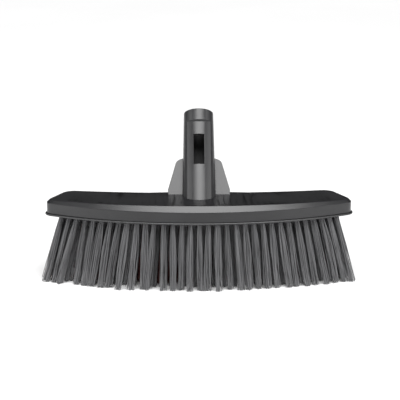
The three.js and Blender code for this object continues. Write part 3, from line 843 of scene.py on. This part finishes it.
def handle_tube(bm, socket):
    """The tube: tapered outside with its panel and collar, bore inside, window between."""
    shape = TubeShape(socket)
    below = 0.04
    sides = 2 * BACK_COLUMN
    made = bmesh.ops.create_circle(bm, segments=sides, radius=1)
    ring = {}
    for i, corner in enumerate(made["verts"]):
        column = i if i <= BACK_COLUMN else i - sides
        ring[column] = corner
    top = socket.length
    edge = 0.0009
    small = 0.0002

    def panel(height):
        return lambda column: shape.outside(column, height, "panel")

    def round_at(height, shrink=0):
        return lambda column: shape.outside(column, height, "round", shrink)

    def bore(radius):
        return lambda column: shape.inside(column, radius)

    def dip(column):
        if column > PANEL_COLUMN:
            return 0
        stands_out = -shape.outside(column, shape.panel_top, "panel").y - shape.panel_edge
        return -socket.panel_dip * stands_out

    bore_radius = socket.bore_radius
    stations = [
        (-below, panel(-below)),
        (0, panel(0)),
        (shape.window_bottom, panel(shape.window_bottom)),
        (shape.window_top, panel(shape.window_top)),
        (shape.panel_top, panel(shape.panel_top), dip),
        (shape.panel_top + small, round_at(shape.panel_top)),
        (top - edge, round_at(top)),
        (top - edge * 0.55, round_at(top, edge * 0.13)),
        (top - edge * 0.2, round_at(top, edge * 0.42)),
        (top, round_at(top, edge)),
        (top, bore(bore_radius + edge)),
        (top - edge, bore(bore_radius)),
        (shape.window_top, bore(bore_radius)),
        (shape.window_bottom, bore(bore_radius)),
        (top - socket.bore_depth, bore(bore_radius)),
    ]
    rings = []
    for height, place, *rise in stations:
        if rings:
            edges = {e for v in ring.values() for e in v.link_edges}
            corners = set(ring.values())
            loop = [e for e in edges if all(v in corners for v in e.verts)]
            grown = bmesh.ops.extrude_edge_only(bm, edges=loop)["geom"]
            new = set(verts_of(grown))
            ring = {
                column: next(e.other_vert(v) for e in v.link_edges if e.other_vert(v) in new)
                for column, v in ring.items()
            }
        place_ring(ring, height, place, *rise)
        rings.append(ring)
    bmesh.ops.contextual_create(bm, geom=list(rings[-1].values()))
    bmesh.ops.contextual_create(bm, geom=list(rings[0].values()))
    for rough in (rings[11:], rings[4:6]):
        corners = {v for ring in rough for v in ring.values()}
        for face in bm.faces:
            if all(v in corners for v in face.verts):
                face.material_index = 1
    cut_window(bm, rings[2], rings[3])
    cut_window(bm, rings[12], rings[13])
    join_window(bm, rings)
    mark_panel_edges(rings[:5])


def between(ring_a, ring_b, columns):
    """The faces between two rings in the given columns."""
    faces = set()
    for column in columns:
        shared = set(ring_a[column].link_faces) & set(ring_b[column + 1].link_faces)
        faces |= shared
    return faces


def cut_window(bm, ring_a, ring_b):
    """Opens the faces of the window between two rings."""
    columns = range(-WINDOW_COLUMN, WINDOW_COLUMN)
    faces = list(between(ring_a, ring_b, columns))
    bmesh.ops.delete(bm, geom=faces, context="FACES_ONLY")


def join_window(bm, rings):
    """Walls of the window from the panel to the bore."""
    corners = set()
    for ring in (rings[2], rings[3], rings[12], rings[13]):
        corners |= {ring[c] for c in range(-WINDOW_COLUMN, WINDOW_COLUMN + 1)}
    open_edges = [e for v in corners for e in v.link_edges if e.is_boundary]
    loops = [e for e in set(open_edges) if all(v in corners for v in e.verts)]
    bmesh.ops.bridge_loops(bm, edges=loops)


def mark_panel_edges(rings):
    """Keeps the panel's long edges crisp."""
    for low, high in zip(rings, rings[1:]):
        for column in (PANEL_COLUMN, PANEL_COLUMN + 1, -PANEL_COLUMN, -PANEL_COLUMN - 1):
            for edge in low[column].link_edges:
                if edge.other_vert(low[column]) == high[column]:
                    edge.smooth = False


def wing(bm, socket, side):
    """One flat wing beside the tube, from inside the tube's wall to its sloping outer edge."""
    inner = socket.bore_radius + 0.0022
    slope = (socket.wing_top - socket.shoulder_height) / (
        socket.wing_shoulder - socket.mouth_radius
    )
    top = socket.wing_top + slope * (socket.mouth_radius - inner)
    outline = [
        (inner, -0.04),
        (socket.wing_base, -0.04),
        (socket.wing_base, socket.wing_straight),
        (socket.wing_shoulder, socket.shoulder_height),
        (inner, top),
    ]
    y = socket.wing_setback + socket.wing_thickness / 2
    corners = [bm.verts.new((side * x, y, z)) for x, z in outline]
    plate = bmesh.ops.contextual_create(bm, geom=corners)["faces"][0]
    bmesh.ops.bevel(
        bm,
        geom=[corners[3]],
        offset=0.004,
        offset_type="OFFSET",
        affect="VERTICES",
        segments=5,
        profile=0.5,
        material=-1,
    )
    plate = next(f for f in bm.faces if f.is_valid and corners[0] in f.verts)
    grown = bmesh.ops.extrude_face_region(bm, geom=[plate])["geom"]
    bmesh.ops.translate(bm, vec=(0, -socket.wing_thickness, 0), verts=verts_of(grown))
    shell = set(verts_of(grown)) | {v for f in bm.faces for v in f.verts if v in corners}
    return shell


def handle_socket_meshes(socket):
    """The tube and the plates of the socket, in the object's frame."""
    tilt = Matrix.Rotation(-socket.tilt, 4, "X")
    to_place = Matrix.Translation((0, FRONT + socket.setback, COVER_TOP)) @ tilt
    tube = bmesh.new()
    handle_tube(tube, socket)
    plates = bmesh.new()
    for side in (-1, 1):
        one = bmesh.new()
        wing(one, socket, side)
        bmesh.ops.recalc_face_normals(one, faces=one.faces)
        sharp = [e for e in one.edges if e.calc_face_angle(0) > math.radians(50)]
        bmesh.ops.bevel(
            one,
            geom=sharp,
            offset=0.0006,
            offset_type="OFFSET",
            affect="EDGES",
            segments=3,
            profile=0.5,
            material=-1,
        )
        join(plates, one)
    for bm in (tube, plates):
        bmesh.ops.transform(bm, matrix=to_place, verts=bm.verts)
        bmesh.ops.recalc_face_normals(bm, faces=bm.faces)
        cut = bmesh.ops.bisect_plane(
            bm,
            geom=list(bm.verts) + list(bm.edges) + list(bm.faces),
            dist=1e-7,
            plane_co=(0, 0, FOOT_BOTTOM),
            plane_no=(0, 0, -1),
            clear_outer=True,
        )
        open_edges = [g for g in cut["geom_cut"] if isinstance(g, bmesh.types.BMEdge)]
        bmesh.ops.holes_fill(bm, edges=open_edges)
    join(tube, plates)
    foot_plate(tube, socket)
    return tube


def join(target, source):
    """Adds one bmesh to another and frees it."""
    carrier = bpy.data.meshes.new("carrier")
    source.to_mesh(carrier)
    source.free()
    target.from_mesh(carrier)
    bpy.data.meshes.remove(carrier)


def foot_plate(bm, socket):
    """The flat foot that is screwed under the cover."""
    low, high = socket_low, socket_high
    thickness = 0.0031
    reach = 0.0245
    half = high.x
    middle = low.y + 0.026
    one = bmesh.new()
    place = Matrix.Translation((0, middle, FOOT_BOTTOM + thickness / 2))
    size = Matrix.Diagonal((2 * half, 2 * reach, thickness, 1))
    bmesh.ops.create_cube(one, size=1, matrix=place @ size)
    upright = [e for e in one.edges if abs(e.verts[0].co.z - e.verts[1].co.z) > thickness / 2]
    bmesh.ops.bevel(
        one,
        geom=upright,
        offset=0.006,
        offset_type="OFFSET",
        affect="EDGES",
        segments=5,
        profile=0.5,
        material=-1,
    )
    join(bm, one)


# ---- Screws -------------------------------------------------------------------------------------


def screw_mesh(low, high, head_height, countersunk):
    """A cross-recessed screw standing on its head, with a turned thread below a pointed end."""
    bm = bmesh.new()
    radius = (high.x - low.x) / 2
    centre = Vector(((low.x + high.x) / 2, (low.y + high.y) / 2, low.z))
    total = high.z - low.z
    shank = 0.00145
    steps = 24
    profile = [(radius * 0.62, 0), (radius * 0.9, 0.0002), (radius, head_height * 0.45)]
    if countersunk:
        profile = [(radius * 0.62, 0), (radius * 0.97, 0), (radius, 0.0001)]
        head_height = radius - shank
    profile.append((shank if countersunk else radius, head_height))
    profile.append((shank, head_height))
    thread = head_height + 0.0006
    pitch = 0.0009
    while thread + pitch < total - 2 * shank:
        profile += [(shank * 0.78, thread), (shank, thread + pitch / 2)]
        thread += pitch
    profile += [(shank * 0.78, total - shank * 1.4), (0, total)]
    first = bm.verts.new((profile[0][0], 0, profile[0][1]))
    chain = [first]
    for x, z in profile[1:]:
        grown = bmesh.ops.extrude_vert_indiv(bm, verts=[chain[-1]])["verts"][0]
        grown.co = (x, 0, z)
        chain.append(grown)
    bmesh.ops.spin(
        bm,
        geom=list(bm.verts) + list(bm.edges),
        cent=(0, 0, 0),
        axis=(0, 0, 1),
        angle=2 * math.pi,
        steps=steps,
        use_merge=True,
    )
    bmesh.ops.remove_doubles(bm, verts=bm.verts, dist=1e-7)
    rim = [e for e in bm.edges if e.is_boundary]
    arm = radius * 0.14
    tip = radius * 0.5
    star = []
    for turn in range(4):
        spin = Matrix.Rotation(turn * math.pi / 2, 4, "Z")
        for x, y in ((tip, -arm), (tip, arm), (arm, arm)):
            star.append(bm.verts.new(spin @ Vector((x, y, 0))))
    cross = [bm.edges.new((a, b)) for a, b in zip(star, star[1:] + star[:1])]
    bmesh.ops.triangle_fill(bm, use_beauty=True, edges=rim + cross)
    inside = [f for f in bm.faces if all(v in star for v in f.verts)]
    bmesh.ops.delete(bm, geom=inside, context="FACES_ONLY")
    walls = bmesh.ops.extrude_edge_only(bm, edges=cross)["geom"]
    sunk = verts_of(walls)
    bmesh.ops.translate(bm, vec=(0, 0, 0.0012), verts=sunk)
    bmesh.ops.scale(bm, vec=(0.6, 0.6, 1), verts=sunk)
    bmesh.ops.contextual_create(bm, geom=sunk)
    bmesh.ops.translate(bm, vec=centre, verts=bm.verts)
    return bm


# ---- Operators ----------------------------------------------------------------------------------


def sized(scene):
    """The four groups of sizes."""
    return scene.broom_head, scene.broom_socket, scene.broom_bristles, scene.broom_finish


class BROOM_OT_cover(bpy.types.Operator):
    """Build the head cover"""

    bl_idname = "broom.cover"
    bl_label = "Head Cover"

    def execute(self, context):
        head, socket, _, finish = sized(context.scene)
        plastic = moulded_plastic("cover_plastic", finish.cover, 0.33, 0.12)
        piece = finish_mesh(head_cover_mesh(head, socket), "cover", plastic)
        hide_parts("head_cover")
        return {"FINISHED"}


class BROOM_OT_board(bpy.types.Operator):
    """Build the bristle board"""

    bl_idname = "broom.board"
    bl_label = "Bristle Board"

    def execute(self, context):
        head, _, bristles, finish = sized(context.scene)
        plastic = moulded_plastic("board_plastic", finish.cover, 0.34, 0.12)
        piece = finish_mesh(bristle_board_mesh(head, bristles), "board", plastic)
        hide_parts("bristle_board")
        return {"FINISHED"}


class BROOM_OT_socket(bpy.types.Operator):
    """Build the handle socket with its wings and foot"""

    bl_idname = "broom.socket"
    bl_label = "Handle Socket"

    def execute(self, context):
        _, socket, _, finish = sized(context.scene)
        plastic = moulded_plastic("socket_plastic", finish.socket, 0.34, 0.12)
        piece = finish_mesh(handle_socket_meshes(socket), "socket", plastic)
        piece.data.materials.append(moulded_plastic("bore_plastic", finish.socket, 0.75, 0.5))
        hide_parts("handle_socket")
        return {"FINISHED"}


class BROOM_OT_screws(bpy.types.Operator):
    """Build the board screws and the socket screws"""

    bl_idname = "broom.screws"
    bl_label = "Screws"

    def execute(self, context):
        finish = context.scene.broom_finish
        steel = zinc_steel("zinc_steel", finish.steel)
        groups = (("board_screw", 6, 0.0022, False), ("socket_screw", 4, 0, True))
        for group, count, head_height, countersunk in groups:
            for number in range(1, count + 1):
                node = f"{group}_{number}"
                low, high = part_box(node)
                bm = screw_mesh(low, high, head_height, countersunk)
                piece = finish_mesh(bm, f"{node}_detail", steel, weighted=False)
                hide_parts(node)
        return {"FINISHED"}


class BROOM_OT_bristle_row(bpy.types.Operator):
    """Build one row of bristles"""

    bl_idname = "broom.bristle_row"
    bl_label = "Bristle Row"

    row: IntProperty(name="Row", description="Row from the front", default=1, min=1, max=ROWS)

    def execute(self, context):
        head, _, bristles, finish = sized(context.scene)
        stiff = self.row in (1, 2, ROWS)
        name = "stiff_bristle" if stiff else "soft_bristle"
        material = bpy.data.materials.get(name)
        if material is None:
            base = finish.stiff if stiff else finish.soft
            material = bristle_plastic(name, base, 1.7)
        bm = bristle_row_mesh(head, bristles, self.row - 1)
        piece = finish_mesh(bm, f"bristles_{self.row}", material, weighted=False)
        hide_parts(f"bristle_row_{self.row}")
        return {"FINISHED"}


class BROOM_OT_stage(bpy.types.Operator):
    """Set up the floor, the light and the camera"""

    bl_idname = "broom.stage"
    bl_label = "Stage"

    def execute(self, context):
        scene = context.scene
        stage = scene.broom_stage
        scene.view_settings.view_transform = "Standard"
        add_floor(scene, stage)
        add_light(scene, stage)
        add_camera(scene, stage)
        return {"FINISHED"}


def direction(elevation, turn):
    """From the object towards a lamp or camera in front of it."""
    level = math.cos(elevation)
    return Vector((level * math.sin(turn), -level * math.cos(turn), math.sin(elevation)))


def add_floor(scene, stage):
    """A wide pale floor just below the bristle tips."""
    bm = bmesh.new()
    low = cad_bounds[0][2] - 0.0004
    bmesh.ops.create_grid(
        bm, x_segments=4, y_segments=4, size=12, matrix=Matrix.Translation((0, 0, low))
    )
    mesh = bpy.data.meshes.new("floor")
    bm.to_mesh(mesh)
    bm.free()
    floor = bpy.data.objects.new("floor", mesh)
    scene.collection.objects.link(floor)
    material, tree, shader, add = new_material("floor_paint")
    place = add("ShaderNodeTexCoord").outputs["Object"]
    mottle = add("ShaderNodeTexNoise", {"Vector": place, "Scale": 3, "Detail": 2})
    pale = tuple(stage.floor_colour)
    dark = [c * 0.985 for c in pale]
    tree.links.new(two_tone(add, mottle.outputs["Fac"], dark, pale), shader.inputs["Base Color"])
    shader.inputs["Roughness"].default_value = 0.9
    mesh.materials.append(material)


def add_light(scene, stage):
    """A very wide soft lamp above and in front, two side screens, and dim light from the room."""
    lamp = bpy.data.lights.new("softbox", "SUN")
    lamp.angle = stage.light_width
    lamp.energy = stage.light_strength
    holder = bpy.data.objects.new("softbox", lamp)
    scene.collection.objects.link(holder)
    towards = direction(stage.light_elevation, stage.light_turn)
    holder.rotation_euler = towards.to_track_quat("Z", "Y").to_euler()
    for side in (-1, 1):
        add_side_screen(scene, stage, side)
    world = bpy.data.worlds.new("room")
    world.use_nodes = True
    background = world.node_tree.nodes["Background"]
    background.inputs["Color"].default_value = (1, 1, 1, 1)
    background.inputs["Strength"].default_value = stage.fill_strength
    scene.world = world


def add_side_screen(scene, stage, side):
    """A large pale screen beside the object, turned towards it."""
    screen = bpy.data.lights.new("side_screen", "AREA")
    screen.shape = "RECTANGLE"
    screen.size = 2.2
    screen.size_y = 1.5
    screen.energy = stage.side_strength * math.pi * screen.size * screen.size_y
    holder = bpy.data.objects.new("side_screen", screen)
    scene.collection.objects.link(holder)
    holder.location = (side * 1.5, -0.8, 0.6)
    away = Vector(holder.location) - Vector(stage.target)
    holder.rotation_euler = away.to_track_quat("Z", "Y").to_euler()
    holder.visible_camera = False


def add_camera(scene, stage):
    """A long lens in front of the head, slightly above it."""
    lens = bpy.data.cameras.new("camera")
    lens.lens = stage.lens
    camera = bpy.data.objects.new("camera", lens)
    scene.collection.objects.link(camera)
    towards = direction(stage.elevation, stage.turn)
    camera.location = Vector(stage.target) + towards * stage.distance
    camera.rotation_euler = towards.to_track_quat("Z", "Y").to_euler()
    scene.camera = camera


class BROOM_PT_panel(bpy.types.Panel):
    """Lists the broom head's pieces"""

    bl_idname = "BROOM_PT_panel"
    bl_label = "Yard Broom Head"
    bl_space_type = "VIEW_3D"
    bl_region_type = "UI"
    bl_category = "Broom"

    def draw(self, context):
        layout = self.layout
        for operator in OPERATORS:
            layout.operator(operator.bl_idname)
        for group in GROUPS:
            settings = getattr(context.scene, group)
            box = layout.box()
            for name in settings.bl_rna.properties.keys():
                if name not in ("rna_type", "name"):
                    box.prop(settings, name)


GROUPS = {
    "broom_head": BroomHeadSizes,
    "broom_socket": BroomSocketSizes,
    "broom_bristles": BroomBristleSizes,
    "broom_finish": BroomFinish,
    "broom_stage": BroomStageSettings,
}
OPERATORS = (
    BROOM_OT_stage,
    BROOM_OT_cover,
    BROOM_OT_board,
    BROOM_OT_socket,
    BROOM_OT_screws,
    BROOM_OT_bristle_row,
)
CLASSES = (*GROUPS.values(), *OPERATORS, BROOM_PT_panel)


def register():
    """Adds the classes, and the groups of sizes to the scene."""
    for made in CLASSES:
        bpy.utils.register_class(made)
    for name, group in GROUPS.items():
        setattr(bpy.types.Scene, name, PointerProperty(type=group))


def unregister():
    """Takes the groups and the classes away again."""
    for name in GROUPS:
        delattr(bpy.types.Scene, name)
    for made in reversed(CLASSES):
        bpy.utils.unregister_class(made)


def main():
    """Builds everything."""
    register()
    bpy.ops.broom.stage()
    bpy.ops.broom.cover()
    bpy.ops.broom.board()
    bpy.ops.broom.socket()
    bpy.ops.broom.screws()
    for row in range(1, ROWS + 1):
        bpy.ops.broom.bristle_row(row=row)


if __name__ == "__main__":
    main()
